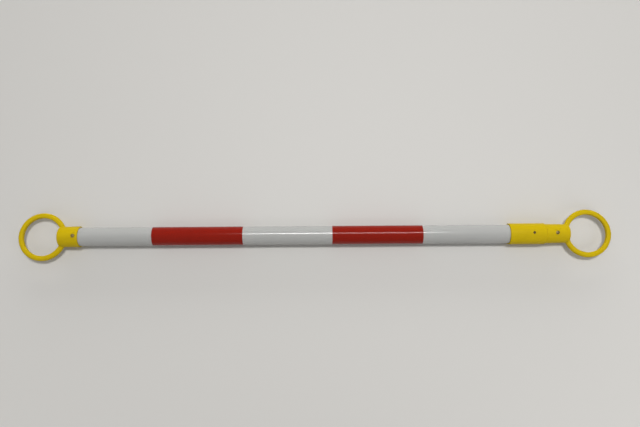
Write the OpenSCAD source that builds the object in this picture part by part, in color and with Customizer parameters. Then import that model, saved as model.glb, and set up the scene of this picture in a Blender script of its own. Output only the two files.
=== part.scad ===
// Retractable bar that links two road cones.
// A white inner tube slides and turns in a white outer tube. Each tube ends in a moulded ring that
// drops over the neck of a cone. Millimetres, X along the bar towards the sliding ring, Z up.
// The bar lies closed on the plane Z = 0 with both rings level and X = 0 at half its length.

/* [Outer tube] */
// Outside diameter of the outer tube
outer_tube_od = 39; // [36:0.5:48]
// Wall of the outer tube
outer_tube_wall = 1.5; // [1.2:0.1:2.2]
// Length of the outer tube
outer_tube_l = 1000; // [900:5:1300]

/* [Inner tube] */
// Radial gap between the two tubes, which the guide bush fills
tube_gap = 1.5; // [1.2:0.1:2.5]
// Wall of the inner tube
inner_tube_wall = 1.5; // [1.2:0.1:2.5]
// Free room left behind the end plug when the bar is closed
tail_room = 59; // [20:1:100]

/* [Rings] */
// Inside diameter of both rings
ring_bore = 80; // [70:1:110]
// Radial width of the ring section
ring_w = 11; // [9:0.5:14]
// Height of the ring section
ring_h = 10; // [9:0.5:12]
// Rounding of the two inner corners of the ring section
ring_inner_round = 3; // [2:0.25:3.5]
// Rounding where a ring runs into its sleeve, seen from above
web_round = 6; // [3:0.5:10]
// Height of that rounded web
web_h = 5; // [3:0.5:6]
// How far the closed end of a sleeve stays back from the ring bore
bore_set_back = 0.5; // [0.3:0.1:2]
// Thickness of the wall that closes a sleeve
end_wall = 3.5; // [2.5:0.25:6]
// Rounding of the closed end of a sleeve
root_round = 3.5; // [1.5:0.25:4]
// Bevel on the open edges of the sleeves and the collar
edge_bevel = 0.8; // [0.4:0.1:1.1]

/* [Fixed ring end] */
// Length of its sleeve
fixed_sleeve_l = 44; // [36:1:60]
// How far its closed end leans over the bore, above the ring
fixed_overhang = 4; // [1:0.25:4.5]
// Wall of its sleeve at the ring
fixed_root_wall = 1.75; // [1.5:0.05:2.2]
// Wall of its sleeve at the open end
fixed_open_wall = 2.5; // [2.3:0.05:4]
// Distance of its screw from the open end
fixed_screw_inset = 9; // [7:0.5:14]

/* [Sliding ring end] */
// Length of its sleeve
sliding_sleeve_l = 51; // [40:1:70]
// Wall of its sleeve at the ring
sliding_root_wall = 2.9; // [2:0.05:3.2]
// Wall of its sleeve at the open end
sliding_open_wall = 3.9; // [3.3:0.05:5]
// Distance of its screw from the open end
sliding_screw_inset = 22.5; // [8:0.5:24]

/* [Collar] */
// Length of the collar
collar_l = 75; // [55:1:100]
// Wall of the collar
collar_wall = 2.5; // [2.3:0.05:4]
// Length of the lip that closes in on the inner tube
lip_l = 14; // [8:0.5:20]
// Distance of its screw from the end of the outer tube
collar_screw_inset = 12; // [7:0.5:20]
// Gap between the collar and the sliding ring end when the bar is closed
closed_gap = 0.5; // [0.3:0.1:2]

/* [Guide and stop] */
// Length of the guide bush
bush_l = 75; // [40:1:120]
// Width of the slot that lets the bush spring
bush_slot = 4; // [2:0.5:6]
// Length of the stop ring
stop_l = 12; // [6:0.5:20]
// Length of the end plug inside the inner tube
plug_l = 22; // [12:1:40]
// Thickness of the flange of the end plug
plug_flange = 3; // [2:0.5:5]
// Wall of the cup that forms the end plug
plug_wall = 2; // [1.5:0.25:4]

/* [Red bands] */
// Length of each red band
band_l = 190; // [120:1:200]
// White length before the first band of each tube
band_start = 190; // [150:1:200]
// White length between the two bands of a tube
band_space = 187.5; // [150:0.5:190]
// Thickness of the red film
film = 0.15; // [0.1:0.05:0.25]

/* [Ring screws] */
// Diameter of the shank
screw_d = 3.5; // [3:0.1:4]
// Diameter of the pan head
screw_head_d = 7.6; // [7:0.1:8]
// Height of the pan head
screw_head_h = 2.6; // [2.2:0.1:3]
// Length below the head
screw_l = 9.5; // [8:0.5:13]
// Depth of the flat seat cut for the head
screw_seat = 0.7; // [0.6:0.05:0.9]

/* [Collar screw] */
// Diameter of the shank
small_screw_d = 2.9; // [2.5:0.1:3.2]
// Diameter of the flat head
small_head_d = 5; // [4.4:0.1:5.5]
// Height of the flat head
small_head_h = 1.1; // [0.9:0.1:1.2]
// How far the flat head lies below the collar's surface
small_head_sink = 0.35; // [0.3:0.05:0.5]

/* [Fits] */
// Radial clearance of pieces that are fixed together
fixed_fit = 0.1; // [0.05:0.01:0.15]
// Radial clearance of the bush on both tubes
bush_fit = 0.1; // [0.05:0.01:0.15]
// Radial clearance of the collar's lip over the red film
lip_fit = 0.2; // [0.15:0.01:0.3]
// Radial clearance of the stop ring in the outer tube
stop_fit = 0.2; // [0.15:0.01:0.3]
// Radial clearance of the screws in their holes
screw_fit = 0.05; // [0.03:0.01:0.1]
// End play of the bush between the end plug and the stop ring
end_play = 0.3; // [0.2:0.05:1]
// Thickness of the glue under the red film
glue = 0.02; // [0.01:0.01:0.05]
// Gap left between the stop ring and the collar's lip at full length
stop_gap = 0.4; // [0.3:0.05:1]

/* [Hidden] */
$fn = 96;
over = 1;

// Radii of the tubes
outer_ro = outer_tube_od / 2;
outer_ri = outer_ro - outer_tube_wall;
inner_ro = outer_ri - tube_gap;
inner_ri = inner_ro - inner_tube_wall;

// Radii of what is fitted on them
fixed_socket_r = outer_ro + fixed_fit;
sliding_socket_r = inner_ro + fixed_fit;
collar_ro = fixed_socket_r + collar_wall;
lip_r = inner_ro + glue + film + lip_fit;
bush_ro = outer_ri - bush_fit;
bush_ri = inner_ro + bush_fit;
stop_ro = outer_ri - stop_fit;
stop_ri = inner_ro + fixed_fit;
plug_ro = inner_ri - fixed_fit;

// The bar rests on its thickest sleeve
axis_z = max(collar_ro, fixed_socket_r + fixed_open_wall);

// Ring radii
ring_ri = ring_bore / 2;
ring_mid = ring_ri + ring_w / 2;
ring_ro = ring_ri + ring_w;
root_x = ring_ri + bore_set_back;

// Places along the bar, from the fixed ring to the sliding ring
closed_l = 2 * (ring_ro + root_x) + end_wall + outer_tube_l + lip_l + closed_gap + sliding_sleeve_l;
fixed_ring_x = -closed_l / 2 + ring_ro;
fixed_root_x = fixed_ring_x + root_x;
fixed_open_x = fixed_root_x - fixed_overhang + fixed_sleeve_l;
outer_x0 = fixed_root_x + end_wall;
outer_x1 = outer_x0 + outer_tube_l;
collar_x1 = outer_x1 + lip_l;
collar_x0 = collar_x1 - collar_l;
sliding_open_x = collar_x1 + closed_gap;
sliding_root_x = sliding_open_x + sliding_sleeve_l;
sliding_ring_x = sliding_root_x + root_x;
inner_x1 = sliding_root_x - end_wall;
inner_x0 = outer_x0 + tail_room + plug_flange;
inner_tube_l = inner_x1 - inner_x0;
bush_x0 = inner_x0 + end_play;
stop_x0 = bush_x0 + bush_l + end_play;

// Travel from closed to full length
stroke = outer_x1 - (stop_x0 + stop_l) - stop_gap;
echo(closed_length = closed_l, travel = stroke, inner_tube_length = inner_tube_l, axis_height = axis_z);

// Screw places, and the radius at which each head is seated
fixed_screw_x = fixed_open_x - fixed_screw_inset;
sliding_screw_x = sliding_open_x + sliding_screw_inset;
collar_screw_x = outer_x1 - collar_screw_inset;
fixed_seat_r = fixed_socket_r - screw_seat
    + sleeve_wall(fixed_root_wall, fixed_open_wall, fixed_sleeve_l, fixed_screw_inset);
sliding_seat_r = sliding_socket_r - screw_seat
    + sleeve_wall(sliding_root_wall, sliding_open_wall, sliding_sleeve_l, sliding_screw_inset);
collar_seat_r = collar_ro - small_head_sink - small_head_h;
seat_fit = 0.4;

// Wall of a drafted sleeve at a distance from its open end
function sleeve_wall(root, open, length, inset) = open - (open - root) * inset / length;

// Turns a shape drawn along Z so that it runs along the bar from x
module along_bar(x) {
    translate([x, 0, axis_z]) rotate([0, 90, 0]) children();
}

// Puts a shape drawn along Z on top of the bar, with Z as its radius
module on_top(x) {
    translate([x, 0, axis_z]) children();
}

// Plain tube along Z
module pipe(ro, ri, length) {
    difference() {
        cylinder(r = ro, h = length);
        translate([0, 0, -over]) cylinder(r = ri, h = length + 2 * over);
    }
}

// Section of a ring, flat inside and round outside, with its inner wall at X = ring_ri
module ring_section() {
    round_x = ring_w - ring_h / 2;
    land = ring_h - 2 * ring_inner_round;
    translate([ring_ri, 0]) {
        translate([round_x, 0]) circle(d = ring_h);
        translate([ring_inner_round, -ring_h / 2]) square([round_x - ring_inner_round, ring_h]);
        translate([0, -land / 2]) square([ring_inner_round, land]);
        for (side = [-1, 1])
            translate([ring_inner_round, side * land / 2]) circle(r = ring_inner_round);
    }
}

// Flat web with a hollow edge that eases the ring into the side of its sleeve
module ring_web(root_r) {
    sink = 0.5;
    bite = 2.5;
    hollow_y = root_r - sink + web_round;
    hollow_r = ring_ro - sink + web_round;
    hollow_x = sqrt(pow(hollow_r, 2) - pow(hollow_y, 2));
    in_ring = [hollow_x, hollow_y] * ring_mid / hollow_r;
    linear_extrude(height = web_h, center = true)
        difference() {
            polygon([
                in_ring, [hollow_x, hollow_y], [hollow_x, root_r - bite], [in_ring[0], root_r - bite]
            ]);
            translate([hollow_x, hollow_y]) circle(r = web_round);
        }
}

// Drafted sleeve along Z, closed at Z = 0 with a rounded edge
module sleeve_body(root_r, open_r, length) {
    rounded = [
        for (turn = [0:15:90])
            [root_r - root_round * (1 - sin(turn)), root_round * (1 - cos(turn))]
    ];
    rotate_extrude()
        polygon(concat(
            [[0, 0]], rounded,
            [[open_r, length - edge_bevel], [open_r - edge_bevel, length], [0, length]]
        ));
}

// Sleeve of a ring end along X, whose closed end leans over the bore above the ring only
module ring_sleeve(root_r, open_r, length, overhang) {
    difference() {
        translate([root_x - overhang, 0, 0]) rotate([0, 90, 0])
            sleeve_body(root_r, open_r, length);
        if (overhang > 0)
            translate([0, 0, -open_r - over])
                cylinder(r = root_x, h = open_r + over + ring_h / 2 + bore_set_back);
    }
}

// Ring and sleeve in one moulding, ring centre at the origin and the sleeve along X
module ring_end(socket_r, root_wall, open_wall, length, overhang, screw_inset, seat_r) {
    difference() {
        union() {
            rotate_extrude() ring_section();
            ring_sleeve(socket_r + root_wall, socket_r + open_wall, length, overhang);
            for (side = [0, 1])
                mirror([0, side, 0]) ring_web(socket_r + root_wall);
        }
        translate([root_x + end_wall, 0, 0]) rotate([0, 90, 0])
            cylinder(r = socket_r, h = length);
        translate([root_x - overhang + length - screw_inset, 0, 0]) {
            cylinder(d = screw_d + 2 * screw_fit, h = seat_r + over);
            translate([0, 0, seat_r]) cylinder(d = screw_head_d + 2 * seat_fit, h = screw_head_h);
        }
    }
}

// Pan-head screw with a cross recess, its head seated at Z = 0 and the point down
module pan_screw() {
    dome_h = screw_head_h * 0.55;
    dome_r = (pow(screw_head_d / 2, 2) + pow(dome_h, 2)) / (2 * dome_h);
    point_l = 3;
    point_r = 0.5;
    recess_l = screw_head_d * 0.58;
    recess_w = 1.1;
    recess_h = screw_head_h * 0.65;
    difference() {
        union() {
            intersection() {
                cylinder(d = screw_head_d, h = screw_head_h);
                translate([0, 0, screw_head_h - dome_r]) sphere(r = dome_r);
            }
            translate([0, 0, point_l - screw_l]) cylinder(d = screw_d, h = screw_l - point_l);
            translate([0, 0, -screw_l]) cylinder(r1 = point_r, r2 = screw_d / 2, h = point_l);
        }
        for (turn = [0, 90])
            rotate([0, 0, turn])
                translate([-recess_l / 2, -recess_w / 2, screw_head_h - recess_h])
                    cube([recess_l, recess_w, recess_h + over]);
    }
}

module outer_tube() {
    color("whitesmoke")
        difference() {
            along_bar(outer_x0) pipe(outer_ro, outer_ri, outer_tube_l);
            on_top(fixed_screw_x) cylinder(d = screw_d + 2 * screw_fit, h = outer_ro + over);
            on_top(collar_screw_x) cylinder(d = small_screw_d + 2 * screw_fit, h = outer_ro + over);
        }
}

// Film band on a tube of radius r
module red_band(x, r) {
    color("firebrick") along_bar(x) pipe(r + glue + film, r + glue, band_l);
}

module outer_red_band_1() {
    red_band(outer_x0 + band_start, outer_ro);
}

module outer_red_band_2() {
    red_band(outer_x0 + band_start + band_l + band_space, outer_ro);
}

module inner_red_band_1() {
    red_band(sliding_open_x - band_start - 2 * band_l - band_space, inner_ro);
}

module inner_red_band_2() {
    red_band(sliding_open_x - band_start - band_l, inner_ro);
}

module fixed_ring_end() {
    color("gold")
        translate([fixed_ring_x, 0, axis_z])
            ring_end(fixed_socket_r, fixed_root_wall, fixed_open_wall, fixed_sleeve_l,
                fixed_overhang, fixed_screw_inset, fixed_seat_r);
}

module fixed_ring_screw() {
    color("silver") on_top(fixed_screw_x) translate([0, 0, fixed_seat_r]) pan_screw();
}

module guide_collar() {
    socket_l = collar_l - lip_l;
    lead = 0.6;
    color("gold")
        difference() {
            along_bar(collar_x0)
                rotate_extrude()
                    polygon([
                        [fixed_socket_r, 0], [collar_ro - edge_bevel, 0], [collar_ro, edge_bevel],
                        [collar_ro, collar_l - edge_bevel], [collar_ro - edge_bevel, collar_l],
                        [lip_r + lead, collar_l], [lip_r, collar_l - lead],
                        [lip_r, socket_l], [fixed_socket_r, socket_l]
                    ]);
            on_top(collar_screw_x) {
                cylinder(d = small_screw_d + 2 * screw_fit, h = collar_ro + over);
                translate([0, 0, collar_seat_r])
                    cylinder(d = small_head_d + 2 * seat_fit, h = small_head_h + over);
            }
        }
}

module collar_screw() {
    slot_w = 0.9;
    slot_h = small_head_h * 0.55;
    tip_r = outer_ri + fixed_fit;
    color("dimgray")
        on_top(collar_screw_x)
            difference() {
                union() {
                    translate([0, 0, tip_r]) cylinder(d = small_screw_d, h = collar_seat_r - tip_r);
                    translate([0, 0, collar_seat_r]) cylinder(d = small_head_d, h = small_head_h);
                }
                for (turn = [45, 135])
                    rotate([0, 0, turn])
                        translate([-small_head_d * 0.3, -slot_w / 2, collar_seat_r + small_head_h - slot_h])
                            cube([small_head_d * 0.6, slot_w, slot_h + over]);
            }
}

module guide_bush() {
    color("lightgray")
        difference() {
            along_bar(bush_x0) pipe(bush_ro, bush_ri, bush_l);
            translate([bush_x0 - over, -bush_slot / 2, axis_z - bush_ro - over])
                cube([bush_l + 2 * over, bush_slot, bush_ro]);
        }
}

module inner_tube() {
    color("whitesmoke")
        difference() {
            along_bar(inner_x0) pipe(inner_ro, inner_ri, inner_tube_l);
            on_top(sliding_screw_x) cylinder(d = screw_d + 2 * screw_fit, h = inner_ro + over);
        }
}

module sliding_ring_end() {
    color("gold")
        translate([sliding_ring_x, 0, axis_z])
            mirror([1, 0, 0])
                ring_end(sliding_socket_r, sliding_root_wall, sliding_open_wall, sliding_sleeve_l,
                    0, sliding_screw_inset, sliding_seat_r);
}

module sliding_ring_screw() {
    color("silver") on_top(sliding_screw_x) translate([0, 0, sliding_seat_r]) pan_screw();
}

module stop_ring() {
    color("whitesmoke") along_bar(stop_x0) pipe(stop_ro, stop_ri, stop_l);
}

module end_plug() {
    color("lightgray")
        along_bar(inner_x0)
            rotate_extrude()
                polygon([
                    [0, -plug_flange], [stop_ro, -plug_flange], [stop_ro, 0], [plug_ro, 0],
                    [plug_ro, plug_l], [plug_ro - plug_wall, plug_l], [plug_ro - plug_wall, 0], [0, 0]
                ]);
}

outer_tube();
outer_red_band_1();
outer_red_band_2();
fixed_ring_end();
fixed_ring_screw();
guide_collar();
collar_screw();
guide_bush();
inner_tube();
inner_red_band_1();
inner_red_band_2();
sliding_ring_end();
sliding_ring_screw();
stop_ring();
end_plug();
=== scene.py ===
"""Looks of a retractable cone bar: two white tubes with red film bands and yellow moulded ring ends.

Metres, in the frame of the CAD: X along the bar towards the sliding ring, Z up.
"""

import math

import bmesh
import bpy
from mathutils import Matrix, Vector


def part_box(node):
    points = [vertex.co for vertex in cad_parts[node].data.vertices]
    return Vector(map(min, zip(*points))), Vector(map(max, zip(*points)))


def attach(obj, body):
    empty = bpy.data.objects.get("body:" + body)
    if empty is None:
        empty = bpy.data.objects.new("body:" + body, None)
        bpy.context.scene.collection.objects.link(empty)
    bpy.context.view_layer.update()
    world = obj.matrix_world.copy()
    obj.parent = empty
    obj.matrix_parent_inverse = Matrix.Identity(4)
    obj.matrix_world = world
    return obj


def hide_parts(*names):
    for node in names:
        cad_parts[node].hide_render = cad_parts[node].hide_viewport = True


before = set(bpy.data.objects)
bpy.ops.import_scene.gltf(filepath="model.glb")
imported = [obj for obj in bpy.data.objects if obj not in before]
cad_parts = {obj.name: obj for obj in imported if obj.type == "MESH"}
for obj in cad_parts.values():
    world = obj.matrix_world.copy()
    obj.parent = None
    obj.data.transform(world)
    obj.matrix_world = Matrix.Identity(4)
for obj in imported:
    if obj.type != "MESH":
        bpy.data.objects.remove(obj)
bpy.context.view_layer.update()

MM = 0.001
FULL_TURN = 2 * math.pi
ALONG = Vector((1, 0, 0))
ACROSS = Vector((0, 1, 0))
UP = Vector((0, 0, 1))


def span(node):
    """Lowest X, highest X and radius of a round CAD node along the bar."""
    low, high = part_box(node)
    return low.x, high.x, (high.z - low.z) / 2


def screw_place(node, head_height=0):
    """X of an upright screw, and the heights of its point, seat and top."""
    low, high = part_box(node)
    return (low.x + high.x) / 2, low.z, high.z - head_height, high.z


# The bar's axis lies level above X
AXIS = UP * sum(corner.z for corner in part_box("outer_tube")) / 2

# Walls, fits and edges of the tubes, the film and what is moulded
TUBE_WALL = 1.5 * MM
TUBE_EDGE = 0.3 * MM
FILM_THICK = 0.15 * MM
FILM_EDGE = 0.05 * MM
FILM_SINK = 0.02 * MM
FILM_LAP = math.radians(20)
SOCKET_FIT = 0.1 * MM
END_WALL = 3.5 * MM
RIM_ROUND = 0.5 * MM
MOUTH_LEAD = 0.6 * MM
LIP_FIT = 0.37 * MM
LIP_LENGTH = 14 * MM
FIXED_ROOT_WALL = 1.75 * MM
SLIDING_ROOT_WALL = 2.9 * MM

# Ring section, how it runs into its sleeve, and rounds of smoothing on the skin and in the corners
RING_BORE_R = 40 * MM
RING_WIDTH = 11 * MM
RING_HEIGHT = 10 * MM
RING_INNER_ROUND = 3 * MM
ROOT_SET_BACK = 0.5 * MM
FIXED_OVERHANG = 4 * MM
ROOT_ROUND = 3.5 * MM
WEB_ROUND = 6 * MM
WEB_HEIGHT = 5 * MM
WEB_SINK = 0.5 * MM
WEB_BITE = 2.5 * MM
BLEND_REACH = 2.5 * MM
SKIN_ROUNDS = 4
CORNER_ROUNDS = 24

# Traces of the mould, and the largest slope of a wall that has the parting ridge
MOULD_VOXEL = 0.6 * MM
PARTING_RIDGE = 0.12 * MM
PARTING_LEAN = 0.3
EJECTOR_R = 1.6 * MM
EJECTOR_DEPTH = 0.25 * MM
EJECTOR_RING_R = 44 * MM

# Screws, the room round them, and how far a cut runs past their top
HEAD_R = 3.8 * MM
HEAD_HEIGHT = 2.6 * MM
DOME_HEIGHT = 1.43 * MM
SHANK_R = 1.75 * MM
POINT_LENGTH = 3 * MM
POINT_R = 0.5 * MM
SMALL_HEAD_R = 2.5 * MM
SMALL_HEAD_HEIGHT = 1.1 * MM
SMALL_HEAD_EDGE = 0.25 * MM
SMALL_SHANK_R = 1.45 * MM
SEAT_ROOM = 0.4 * MM
HOLE_ROOM = 0.05 * MM
CUT_PAST = 2.6 * MM

# Cross recesses of the screws, which taper to their foot
RECESS_LENGTH = 4.4 * MM
RECESS_WIDTH = 1.1 * MM
RECESS_DEPTH = 1.6 * MM
SMALL_RECESS_LENGTH = 3 * MM
SMALL_RECESS_WIDTH = 0.9 * MM
SMALL_RECESS_DEPTH = 0.6 * MM
RECESS_TAPER = 0.5

# Steps in a full turn, and in the lap of the film
RING_STEPS = 192
TUBE_STEPS = 128
SCREW_STEPS = 48
LAP_STEPS = 8

# Points nearer than the gap are one, and edges sharper than the crease stay sharp
MERGE_GAP = 0.001 * MM
CREASE = math.radians(35)

# The stage: half the floor's side in metres, and the surroundings' strength, where 1 is white
FLOOR_HALF = 3
SURROUNDINGS = 0.4

# The camera: its lens and sensor in millimetres, its turns in degrees
LENS = 32.81
SENSOR_WIDTH = 36
CAMERA_PLACE = Vector((9.7, -143.1, 1247.9)) * MM
CAMERA_TURNS = (8.79, 0, -0.40)


def linear(hex_colour):
    """An sRGB hex colour as linear RGBA."""
    shares = [int(hex_colour[i:i + 2], 16) / 255 for i in (1, 3, 5)]
    return [s / 12.92 if s <= 0.04045 else ((s + 0.055) / 1.055) ** 2.4 for s in shares] + [1]


def per_metre(size_mm):
    """Scale of a texture whose features are about size_mm wide."""
    return 1000 / size_mm


# Colour sockets of a Mix node
MIX_A, MIX_B, MIXED = 6, 7, 2


def add(tree, kind, inputs=None, **settings):
    """Adds a node with its settings, and sets or links its inputs."""
    node = tree.nodes.new(kind)
    for name, value in settings.items():
        setattr(node, name, value)
    for name, value in (inputs or {}).items():
        if isinstance(value, bpy.types.NodeSocket):
            tree.links.new(value, node.inputs[name])
        else:
            node.inputs[name].default_value = value
    return node


def start_material(name):
    """A new material, its empty node tree and Object coordinates in it."""
    material = bpy.data.materials.new(name)
    material.use_nodes = True
    tree = material.node_tree
    tree.nodes.clear()
    return material, tree, add(tree, "ShaderNodeTexCoord").outputs["Object"]


def surface(tree, **inputs):
    """Ends a material in a principled shader. An underscore in a name stands for a space."""
    sockets = {name.replace("_", " "): value for name, value in inputs.items()}
    shader = add(tree, "ShaderNodeBsdfPrincipled", sockets)
    add(tree, "ShaderNodeOutputMaterial", {"Surface": shader.outputs[0]})


def extruded_white_pvc():
    """Extruded PVC: a cool white, glossy, with faint die lines along the tube and a little unevenness."""
    material, tree, place = start_material("extruded_white_pvc")
    cloud = add(tree, "ShaderNodeTexNoise", {"Vector": place, "Scale": per_metre(60), "Detail": 3})
    # Die lines are hairlines on the tube, and are drawn 3 mm apart so that they show
    drawn_out = add(tree, "ShaderNodeMapping", {"Vector": place, "Scale": (0.01, 1, 1)})
    lines = add(tree, "ShaderNodeTexNoise", {
        "Vector": drawn_out.outputs[0], "Scale": per_metre(3), "Detail": 2,
    })
    base = add(tree, "ShaderNodeMix", {
        0: cloud.outputs["Fac"], MIX_A: linear("#A2A2A0"), MIX_B: linear("#ABABA8"),
    }, data_type="RGBA")
    white = add(tree, "ShaderNodeMix", {
        0: lines.outputs["Fac"], MIX_A: base.outputs[MIXED], MIX_B: linear("#A9A9A6"),
    }, data_type="RGBA")
    gloss = add(tree, "ShaderNodeMapRange", {
        "Value": cloud.outputs["Fac"], "To Min": 0.12, "To Max": 0.18,
    })
    bump = add(tree, "ShaderNodeBump", {
        "Height": lines.outputs["Fac"], "Strength": 0.2, "Distance": 0.05 * MM,
    })
    surface(
        tree, Base_Color=white.outputs[MIXED], Roughness=gloss.outputs[0], IOR=1.53,
        Normal=bump.outputs[0],
    )
    return material


def red_sign_film():
    """Red self-adhesive sign film: a clear glossy skin over fine beads, which break up the red a little."""
    material, tree, place = start_material("red_sign_film")
    cloud = add(tree, "ShaderNodeTexNoise", {"Vector": place, "Scale": per_metre(40), "Detail": 3})
    # The beads are under 0.1 mm, and are drawn at 2.5 mm so that they show
    beads = add(tree, "ShaderNodeTexVoronoi", {"Vector": place, "Scale": per_metre(2.5)})
    base = add(tree, "ShaderNodeMix", {
        0: cloud.outputs["Fac"], MIX_A: linear("#831404"), MIX_B: linear("#901805"),
    }, data_type="RGBA")
    red = add(tree, "ShaderNodeMix", {
        0: beads.outputs["Distance"], MIX_A: base.outputs[MIXED], MIX_B: linear("#7F1303"),
    }, data_type="RGBA")
    bump = add(tree, "ShaderNodeBump", {
        "Height": cloud.outputs["Fac"], "Strength": 0.15, "Distance": 0.2 * MM,
    })
    surface(
        tree, Base_Color=red.outputs[MIXED], Roughness=0.14, Specular_IOR_Level=0.22,
        Normal=bump.outputs[0],
    )
    return material


def moulded_yellow_polypropylene():
    """Injection-moulded polypropylene: satin yellow with a fine orange peel and faint flow streaks."""
    material, tree, place = start_material("moulded_yellow_polypropylene")
    flow = add(tree, "ShaderNodeTexNoise", {
        "Vector": place, "Scale": per_metre(25), "Detail": 4, "Distortion": 0.8,
    })
    # The orange peel is about 0.3 mm, and is drawn at 2 mm so that it shows
    peel = add(tree, "ShaderNodeTexNoise", {"Vector": place, "Scale": per_metre(2), "Detail": 2})
    yellow = add(tree, "ShaderNodeMix", {
        0: flow.outputs["Fac"], MIX_A: linear("#BBA002"), MIX_B: linear("#C4A906"),
    }, data_type="RGBA")
    satin = add(tree, "ShaderNodeMapRange", {
        "Value": flow.outputs["Fac"], "To Min": 0.48, "To Max": 0.6,
    })
    bump = add(tree, "ShaderNodeBump", {
        "Height": peel.outputs["Fac"], "Strength": 0.2, "Distance": 0.08 * MM,
    })
    surface(
        tree, Base_Color=yellow.outputs[MIXED], Roughness=satin.outputs[0], Specular_IOR_Level=0.15,
        Normal=bump.outputs[0],
    )
    return material


def passivated_zinc_steel():
    """Zinc-plated and passivated steel: a metal with a thin yellow skin, clouded and unevenly dull."""
    material, tree, place = start_material("passivated_zinc_steel")
    cloud = add(tree, "ShaderNodeTexNoise", {"Vector": place, "Scale": per_metre(1.5), "Detail": 3})
    zinc = add(tree, "ShaderNodeMix", {
        0: cloud.outputs["Fac"], MIX_A: linear("#927E51"), MIX_B: linear("#A69468"),
    }, data_type="RGBA")
    shine = add(tree, "ShaderNodeMapRange", {
        "Value": cloud.outputs["Fac"], "To Min": 0.3, "To Max": 0.48,
    })
    surface(tree, Base_Color=zinc.outputs[MIXED], Metallic=1, Roughness=shine.outputs[0])
    return material


def browned_steel():
    """Oxide-coated steel: the coating is dark brown and dull, and paler where it is rubbed."""
    material, tree, place = start_material("browned_steel")
    rub = add(tree, "ShaderNodeTexNoise", {"Vector": place, "Scale": per_metre(1), "Detail": 3})
    brown = add(tree, "ShaderNodeMix", {
        0: rub.outputs["Fac"], MIX_A: linear("#3A2A18"), MIX_B: linear("#5C4527"),
    }, data_type="RGBA")
    surface(tree, Base_Color=brown.outputs[MIXED], Roughness=0.5)
    return material


def moulded_natural_nylon():
    """Unpigmented moulded nylon: creamy, dull and faintly cloudy."""
    material, tree, place = start_material("moulded_natural_nylon")
    cloud = add(tree, "ShaderNodeTexNoise", {"Vector": place, "Scale": per_metre(6), "Detail": 3})
    cream = add(tree, "ShaderNodeMix", {
        0: cloud.outputs["Fac"], MIX_A: linear("#D3CDBB"), MIX_B: linear("#DFDACB"),
    }, data_type="RGBA")
    surface(tree, Base_Color=cream.outputs[MIXED], Roughness=0.5, IOR=1.53)
    return material


PVC = extruded_white_pvc()
RED_FILM = red_sign_film()
YELLOW = moulded_yellow_polypropylene()
ZINC = passivated_zinc_steel()
BROWNED = browned_steel()
NYLON = moulded_natural_nylon()


def arc(x, y, r, start, end, count):
    """Points of an arc, with its angles in degrees."""
    turns = [math.radians(start + (end - start) * i / count) for i in range(count + 1)]
    return [(x + r * math.cos(t), y + r * math.sin(t)) for t in turns]


def turned(outline, centre, axis, steps, loop, angle=FULL_TURN, shape=None):
    """A solid turned from an outline, which is a loop or starts and ends on the axis."""
    shape = shape or bmesh.new()
    verts = [shape.verts.new(point) for point in outline]
    pairs = list(zip(verts, verts[1:]))
    if loop:
        pairs.append((verts[-1], verts[0]))
    section = verts + [shape.edges.new(pair) for pair in pairs]
    whole = angle == FULL_TURN
    if not whole:
        section.append(shape.faces.new(verts))
    bmesh.ops.spin(
        shape, geom=section, cent=centre, axis=axis, dvec=(0, 0, 0), angle=angle, steps=steps,
        use_merge=whole,
    )
    bmesh.ops.remove_doubles(shape, verts=shape.verts, dist=MERGE_GAP)
    bmesh.ops.recalc_face_normals(shape, faces=shape.faces)
    return shape


def turned_on_bar(points, loop=False):
    """A solid turned about the bar's axis from points (x, radius)."""
    return turned([AXIS + ALONG * x + UP * r for x, r in points], AXIS, ALONG, TUBE_STEPS, loop)


def turned_upright(x, y, points, steps=SCREW_STEPS):
    """A solid turned about an upright line from points (radius, z)."""
    foot = ALONG * x + ACROSS * y
    return turned([foot + ALONG * r + UP * z for r, z in points], foot, UP, steps, False)


def drill(x, y, r, z0, z1, steps=SCREW_STEPS):
    """Upright rod for cutting a hole."""
    return turned_upright(x, y, [(0, z0), (r, z0), (r, z1), (0, z1)], steps)


def as_object(name, shape):
    """Puts a bmesh into the scene as an object."""
    mesh = bpy.data.meshes.new(name)
    shape.to_mesh(mesh)
    shape.free()
    obj = bpy.data.objects.new(name, mesh)
    bpy.context.scene.collection.objects.link(obj)
    return obj


def apply_modifiers(obj):
    """Makes what an object's modifiers show its own mesh."""
    depsgraph = bpy.context.evaluated_depsgraph_get()
    mesh = bpy.data.meshes.new_from_object(obj.evaluated_get(depsgraph))
    old = obj.data
    obj.modifiers.clear()
    obj.data = mesh
    bpy.data.meshes.remove(old)


def combine(obj, operation, tools):
    """Joins tools to an object or cuts them from it, one after the other."""
    for shape in tools:
        tool = as_object("tool", shape)
        boolean = obj.modifiers.new("boolean", "BOOLEAN")
        boolean.operation = operation
        boolean.solver = "EXACT"
        boolean.object = tool
        apply_modifiers(obj)
        mesh = tool.data
        bpy.data.objects.remove(tool)
        bpy.data.meshes.remove(mesh)


def finish_piece(obj, material, body, node):
    """Gives an object its finish and the body it rides on, and hides the CAD node that it stands in for."""
    obj.data.materials.clear()
    obj.data.materials.append(material)
    obj.data.shade_smooth()
    obj.data.set_sharp_from_angle(angle=CREASE)
    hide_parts(node)
    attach(obj, body)


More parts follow.
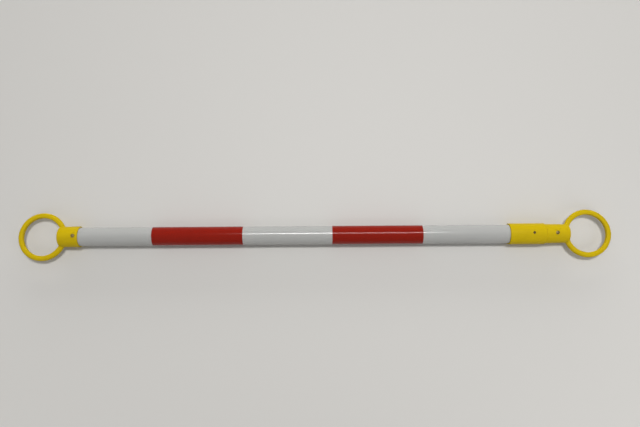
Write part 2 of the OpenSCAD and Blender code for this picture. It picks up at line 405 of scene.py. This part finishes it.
def white_tube(node, body, screws):
    """Extruded tube with broken edges, drilled for its screws."""
    x0, x1, outer_r = span(node)
    inner_r = outer_r - TUBE_WALL
    edge = TUBE_EDGE
    obj = as_object(node + "_extrusion", turned_on_bar([
        (x0, inner_r + edge), (x0, outer_r - edge), (x0 + edge, outer_r), (x1 - edge, outer_r),
        (x1, outer_r - edge), (x1, inner_r + edge), (x1 - edge, inner_r), (x0 + edge, inner_r),
    ], loop=True))
    for screw, shank_r in screws:
        x = screw_place(screw)[0]
        combine(obj, "DIFFERENCE", [drill(x, 0, shank_r + HOLE_ROOM, AXIS.z, AXIS.z + 2 * outer_r)])
    finish_piece(obj, PVC, body, node)


def red_band(node, body):
    """Film wrapped once round a tube, with its end lapped over its start under the bar."""
    x0, x1, outer_r = span(node)
    inner_r = outer_r - FILM_THICK
    edge = FILM_EDGE
    shape = turned_on_bar([
        (x0, inner_r), (x0, outer_r - edge), (x0 + edge, outer_r),
        (x1 - edge, outer_r), (x1, outer_r - edge), (x1, inner_r),
    ], loop=True)
    lap = [
        (x0, outer_r - FILM_SINK), (x0, outer_r + FILM_THICK),
        (x1, outer_r + FILM_THICK), (x1, outer_r - FILM_SINK),
    ]
    turned([AXIS + ALONG * x - UP * r for x, r in lap], AXIS, ALONG, LAP_STEPS, True, FILM_LAP, shape)
    finish_piece(as_object(node + "_film", shape), RED_FILM, body, node)


def ring(centre):
    """Whole ring, flat inside and round outside."""
    land = RING_HEIGHT / 2 - RING_INNER_ROUND
    inner_x = RING_BORE_R + RING_INNER_ROUND
    outer_x = RING_BORE_R + RING_WIDTH - RING_HEIGHT / 2 - PARTING_RIDGE
    section = arc(inner_x, -land, RING_INNER_ROUND, 180, 270, count=8)
    section += arc(outer_x, 0, RING_HEIGHT / 2, -90, 90, count=24)
    section += arc(inner_x, land, RING_INNER_ROUND, 90, 180, count=8)
    return turned([centre + ALONG * x + UP * z for x, z in section], centre, UP, RING_STEPS, True)


def ring_web(centre, way, side, root_r):
    """Flat web with a hollow edge, in the corner between the ring and one side of its sleeve."""
    hollow_y = root_r - WEB_SINK + WEB_ROUND
    hollow_r = RING_BORE_R + RING_WIDTH - WEB_SINK + WEB_ROUND
    hollow_x = math.sqrt(hollow_r ** 2 - hollow_y ** 2)
    to_ring = math.degrees(math.atan2(-hollow_y, -hollow_x))
    in_ring = (RING_BORE_R + RING_WIDTH / 2) / hollow_r
    outline = arc(hollow_x, hollow_y, WEB_ROUND, to_ring, -90, count=12)
    outline += [
        (hollow_x, root_r - WEB_BITE), (hollow_x * in_ring, root_r - WEB_BITE),
        (hollow_x * in_ring, hollow_y * in_ring),
    ]
    base = centre - UP * WEB_HEIGHT / 2
    shape = bmesh.new()
    verts = [shape.verts.new(base + ALONG * way * x + ACROSS * side * y) for x, y in outline]
    lifted = bmesh.ops.extrude_face_region(shape, geom=[shape.faces.new(verts)])["geom"]
    lifted = [part for part in lifted if isinstance(part, bmesh.types.BMVert)]
    bmesh.ops.translate(shape, verts=lifted, vec=UP * WEB_HEIGHT)
    bmesh.ops.recalc_face_normals(shape, faces=shape.faces)
    return shape


def blend_moulding(obj, centre, root_r):
    """Turns joined solids into one skin, eases the corners where ring and sleeve meet, and leaves a
    fine ridge where the two halves of the mould met."""
    remesh = obj.modifiers.new("remesh", "REMESH")
    remesh.mode = "VOXEL"
    remesh.voxel_size = MOULD_VOXEL
    apply_modifiers(obj)
    ring_mid_r = RING_BORE_R + RING_WIDTH / 2
    shape = bmesh.new()
    shape.from_mesh(obj.data)
    corner = []
    for vert in shape.verts:
        place = vert.co - centre
        from_ring = math.hypot(math.hypot(place.x, place.y) - ring_mid_r, place.z) - RING_HEIGHT / 2
        from_sleeve = math.hypot(place.y, place.z) - root_r
        if abs(from_ring) < BLEND_REACH and abs(from_sleeve) < BLEND_REACH:
            corner.append(vert)
    for verts, rounds in ((shape.verts, SKIN_ROUNDS), (corner, CORNER_ROUNDS)):
        for _ in range(rounds):
            bmesh.ops.smooth_vert(
                shape, verts=verts, factor=0.5, use_axis_x=True, use_axis_y=True, use_axis_z=True
            )
    shape.normal_update()
    for vert in shape.verts:
        near = 1 - abs(vert.co.z - AXIS.z) / MOULD_VOXEL
        upright = abs(vert.normal.z) < PARTING_LEAN
        if near > 0 and upright:
            vert.co += vert.normal * PARTING_RIDGE * near
    shape.to_mesh(obj.data)
    shape.free()


def ring_end(node, body, tube, root_wall, overhang, screw):
    """Ring and sleeve moulded in one, with a socket for the tube and a flat seat for the screw. The
    closed end of the sleeve may lean over the bore, above the ring."""
    low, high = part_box(node)
    # From the ring towards its sleeve, along X
    way = 1 if body == "outer" else -1
    tip_x, open_x = (low.x, high.x) if way > 0 else (high.x, low.x)
    centre = AXIS + ALONG * (tip_x + way * (RING_BORE_R + RING_WIDTH))
    bore_r = RING_BORE_R + ROOT_SET_BACK
    root_x = centre.x + way * (bore_r - overhang)
    open_r = (high.z - low.z) / 2
    socket_r = span(tube)[2] + SOCKET_FIT
    root_r = socket_r + root_wall
    rounded = arc(
        root_x + way * ROOT_ROUND, root_r - ROOT_ROUND, ROOT_ROUND, 90 + 90 * way, 90, count=8
    )
    sleeve = turned_on_bar([(root_x, 0)] + rounded + [
        (open_x - way * RIM_ROUND, open_r), (open_x, open_r - RIM_ROUND), (open_x, 0),
    ])
    obj = as_object(node + "_moulding", sleeve)
    if overhang:
        bore_top = AXIS.z + RING_HEIGHT / 2 + ROOT_SET_BACK
        combine(obj, "DIFFERENCE", [drill(centre.x, 0, bore_r, -open_r, bore_top, RING_STEPS)])
    webs = [ring_web(centre, way, side, root_r) for side in (-1, 1)]
    combine(obj, "UNION", [ring(centre)] + webs)
    blend_moulding(obj, centre, root_r)
    end_x = centre.x + way * (bore_r + END_WALL)
    lead = way * MOUTH_LEAD
    socket = turned_on_bar([
        (end_x, 0), (end_x, socket_r), (open_x - lead, socket_r),
        (open_x + lead, socket_r + 2 * MOUTH_LEAD), (open_x + lead, 0),
    ])
    screw_x, _, seat_z, top_z = screw_place(screw, HEAD_HEIGHT)
    hole = drill(screw_x, 0, SHANK_R + HOLE_ROOM, AXIS.z, top_z)
    seat = drill(screw_x, 0, HEAD_R + SEAT_ROOM, seat_z, top_z + CUT_PAST)
    ring_foot = AXIS.z - RING_HEIGHT / 2
    ejector_marks = [
        drill(
            centre.x + EJECTOR_RING_R * math.cos(turn), EJECTOR_RING_R * math.sin(turn), EJECTOR_R,
            ring_foot - EJECTOR_DEPTH, ring_foot + EJECTOR_DEPTH,
        )
        for turn in (math.radians(degrees) for degrees in range(45, 360, 90))
    ]
    combine(obj, "DIFFERENCE", [socket, hole, seat] + ejector_marks)
    finish_piece(obj, YELLOW, body, node)


def guide_collar():
    """Collar on the mouth of the outer tube, with a lip that closes in on the inner tube."""
    x0, x1, outer_r = span("guide_collar")
    socket_r = span("outer_tube")[2] + SOCKET_FIT
    lip_r = span("inner_tube")[2] + LIP_FIT
    step_x = x1 - LIP_LENGTH
    rims = arc(x0 + RIM_ROUND, outer_r - RIM_ROUND, RIM_ROUND, 180, 90, count=4)
    rims += arc(x1 - RIM_ROUND, outer_r - RIM_ROUND, RIM_ROUND, 90, 0, count=4)
    shape = turned_on_bar([(x0, socket_r + MOUTH_LEAD)] + rims + [
        (x1, lip_r + MOUTH_LEAD), (x1 - MOUTH_LEAD, lip_r), (step_x, lip_r), (step_x, socket_r),
        (x0 + MOUTH_LEAD, socket_r),
    ], loop=True)
    obj = as_object("guide_collar_moulding", shape)
    screw_x, _, seat_z, top_z = screw_place("collar_screw", SMALL_HEAD_HEIGHT)
    hole = drill(screw_x, 0, SMALL_SHANK_R + HOLE_ROOM, AXIS.z, top_z)
    seat = drill(screw_x, 0, SMALL_HEAD_R + SEAT_ROOM, seat_z, top_z + CUT_PAST)
    combine(obj, "DIFFERENCE", [hole, seat])
    finish_piece(obj, YELLOW, "outer", "guide_collar")


def cross_recess(x, top_z, length, width, depth, angle):
    """Two crossed, tapering wings to cut into the top of a screw head, turned by an angle in degrees."""
    wings = []
    for turn in (angle, angle + 90):
        wing = bmesh.new()
        bmesh.ops.create_cube(wing, size=1)
        foot = [vert for vert in wing.verts if vert.co.z < 0]
        bmesh.ops.scale(wing, verts=foot, vec=(RECESS_TAPER, RECESS_TAPER, 1))
        bmesh.ops.scale(wing, verts=wing.verts, vec=(length, width, 2 * depth))
        bmesh.ops.rotate(wing, verts=wing.verts, matrix=Matrix.Rotation(math.radians(turn), 3, "Z"))
        bmesh.ops.translate(wing, verts=wing.verts, vec=(x, 0, top_z))
        wings.append(wing)
    return wings


def ring_screw(node, body):
    """Pan-head screw with a cross recess."""
    x, point_z, seat_z, top_z = screw_place(node, HEAD_HEIGHT)
    dome_r = (HEAD_R ** 2 + DOME_HEIGHT ** 2) / (2 * DOME_HEIGHT)
    dome_edge = math.degrees(math.acos(HEAD_R / dome_r))
    obj = as_object(node + "_pan_head", turned_upright(x, 0, [
        (0, point_z), (POINT_R, point_z), (SHANK_R, point_z + POINT_LENGTH), (SHANK_R, seat_z),
        (HEAD_R, seat_z),
    ] + arc(0, top_z - dome_r, dome_r, dome_edge, 90, count=10)))
    recess = cross_recess(x, top_z, RECESS_LENGTH, RECESS_WIDTH, RECESS_DEPTH, angle=0)
    combine(obj, "DIFFERENCE", recess)
    finish_piece(obj, ZINC, body, node)


def collar_screw():
    """Small flat-head screw, sunk in the collar."""
    x, point_z, seat_z, top_z = screw_place("collar_screw", SMALL_HEAD_HEIGHT)
    obj = as_object("collar_screw_flat_head", turned_upright(x, 0, [
        (0, point_z), (SMALL_SHANK_R, point_z), (SMALL_SHANK_R, seat_z), (SMALL_HEAD_R, seat_z),
        (SMALL_HEAD_R, top_z - SMALL_HEAD_EDGE), (SMALL_HEAD_R - SMALL_HEAD_EDGE, top_z), (0, top_z),
    ]))
    recess = cross_recess(
        x, top_z, SMALL_RECESS_LENGTH, SMALL_RECESS_WIDTH, SMALL_RECESS_DEPTH, angle=45
    )
    combine(obj, "DIFFERENCE", recess)
    finish_piece(obj, BROWNED, "outer", "collar_screw")


white_tube("outer_tube", "outer", [("fixed_ring_screw", SHANK_R), ("collar_screw", SMALL_SHANK_R)])
white_tube("inner_tube", "inner", [("sliding_ring_screw", SHANK_R)])
for number in (1, 2):
    red_band(f"outer_red_band_{number}", "outer")
    red_band(f"inner_red_band_{number}", "inner")
ring_end("fixed_ring_end", "outer", "outer_tube", FIXED_ROOT_WALL, FIXED_OVERHANG, "fixed_ring_screw")
ring_end("sliding_ring_end", "inner", "inner_tube", SLIDING_ROOT_WALL, 0, "sliding_ring_screw")
guide_collar()
ring_screw("fixed_ring_screw", "outer")
ring_screw("sliding_ring_screw", "inner")
collar_screw()

# Pieces inside the tubes keep their CAD shape
for node, finish in (("guide_bush", NYLON), ("stop_ring", PVC), ("end_plug", NYLON)):
    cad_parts[node].data.materials.clear()
    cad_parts[node].data.materials.append(finish)


def pale_floor():
    """Plain pale floor under the bar."""
    material, tree, _ = start_material("pale_floor")
    surface(tree, Base_Color=linear("#CAC8C4"), Roughness=0.6)
    shape = bmesh.new()
    bmesh.ops.create_grid(shape, x_segments=1, y_segments=1, size=FLOOR_HALF)
    floor = as_object("floor", shape)
    floor.data.materials.append(material)


def lamp(name, place, length, width, power, glints=False):
    """Rectangular lamp, its length along the bar, that shines at the bar's axis. It either gives even
    light, or only glints in what is glossy."""
    data = bpy.data.lights.new(name, "AREA")
    data.shape = "RECTANGLE"
    data.size = length
    data.size_y = width
    data.energy = power
    obj = bpy.data.objects.new(name, data)
    obj.location = place
    obj.rotation_euler.x = -math.atan2(place[1], place[2])
    obj.visible_glossy = glints
    obj.visible_diffuse = not glints
    bpy.context.scene.collection.objects.link(obj)


def pale_surroundings():
    """Pale grey all round, which is seen and mirrored but gives no light of its own."""
    world = bpy.data.worlds.new("pale_surroundings")
    world.use_nodes = True
    tree = world.node_tree
    tree.nodes.clear()
    path = add(tree, "ShaderNodeLightPath").outputs
    seen = add(tree, "ShaderNodeMath", {
        0: path["Is Camera Ray"], 1: path["Is Glossy Ray"],
    }, operation="MAXIMUM")
    seen = add(tree, "ShaderNodeMath", {
        0: seen.outputs[0], 1: path["Is Transmission Ray"],
    }, operation="MAXIMUM")
    shade = add(tree, "ShaderNodeMath", {0: seen.outputs[0], 1: SURROUNDINGS}, operation="MULTIPLY")
    sky = add(tree, "ShaderNodeBackground", {
        "Color": linear("#FFFFFF"), "Strength": shade.outputs[0],
    })
    add(tree, "ShaderNodeOutputWorld", {"Surface": sky.outputs[0]})
    bpy.context.scene.world = world


def camera_above():
    """Camera nearly straight above the bar, a little to its near side."""
    data = bpy.data.cameras.new("camera_above")
    data.sensor_fit = "HORIZONTAL"
    data.sensor_width = SENSOR_WIDTH
    data.lens = LENS
    obj = bpy.data.objects.new("camera_above", data)
    obj.location = CAMERA_PLACE
    obj.rotation_euler = [math.radians(turn) for turn in CAMERA_TURNS]
    bpy.context.scene.collection.objects.link(obj)
    bpy.context.scene.camera = obj


pale_floor()
pale_surroundings()
# Soft boxes, with places and sides in metres and powers in watts
lamp("top_box", (0.3, 0.58, 3.5), 0.6, 0.45, 72)
lamp("ceiling_box", (0.2, 0.5, 3), 8, 8, 77)
lamp("far_box", (0.2, 5.6, 1.25), 6.5, 2, 203)
lamp("near_left_box", (-1.3, -1.1, 0.9), 1.2, 1.2, 4.3)
lamp("near_right_box", (1.3, -1.1, 0.9), 1.2, 1.2, 7.2)
lamp("glint_strip", (0.12, 0.55, 1.8), 1, 0.12, 13, glints=True)
camera_above()
bpy.context.scene.view_settings.view_transform = "Standard"
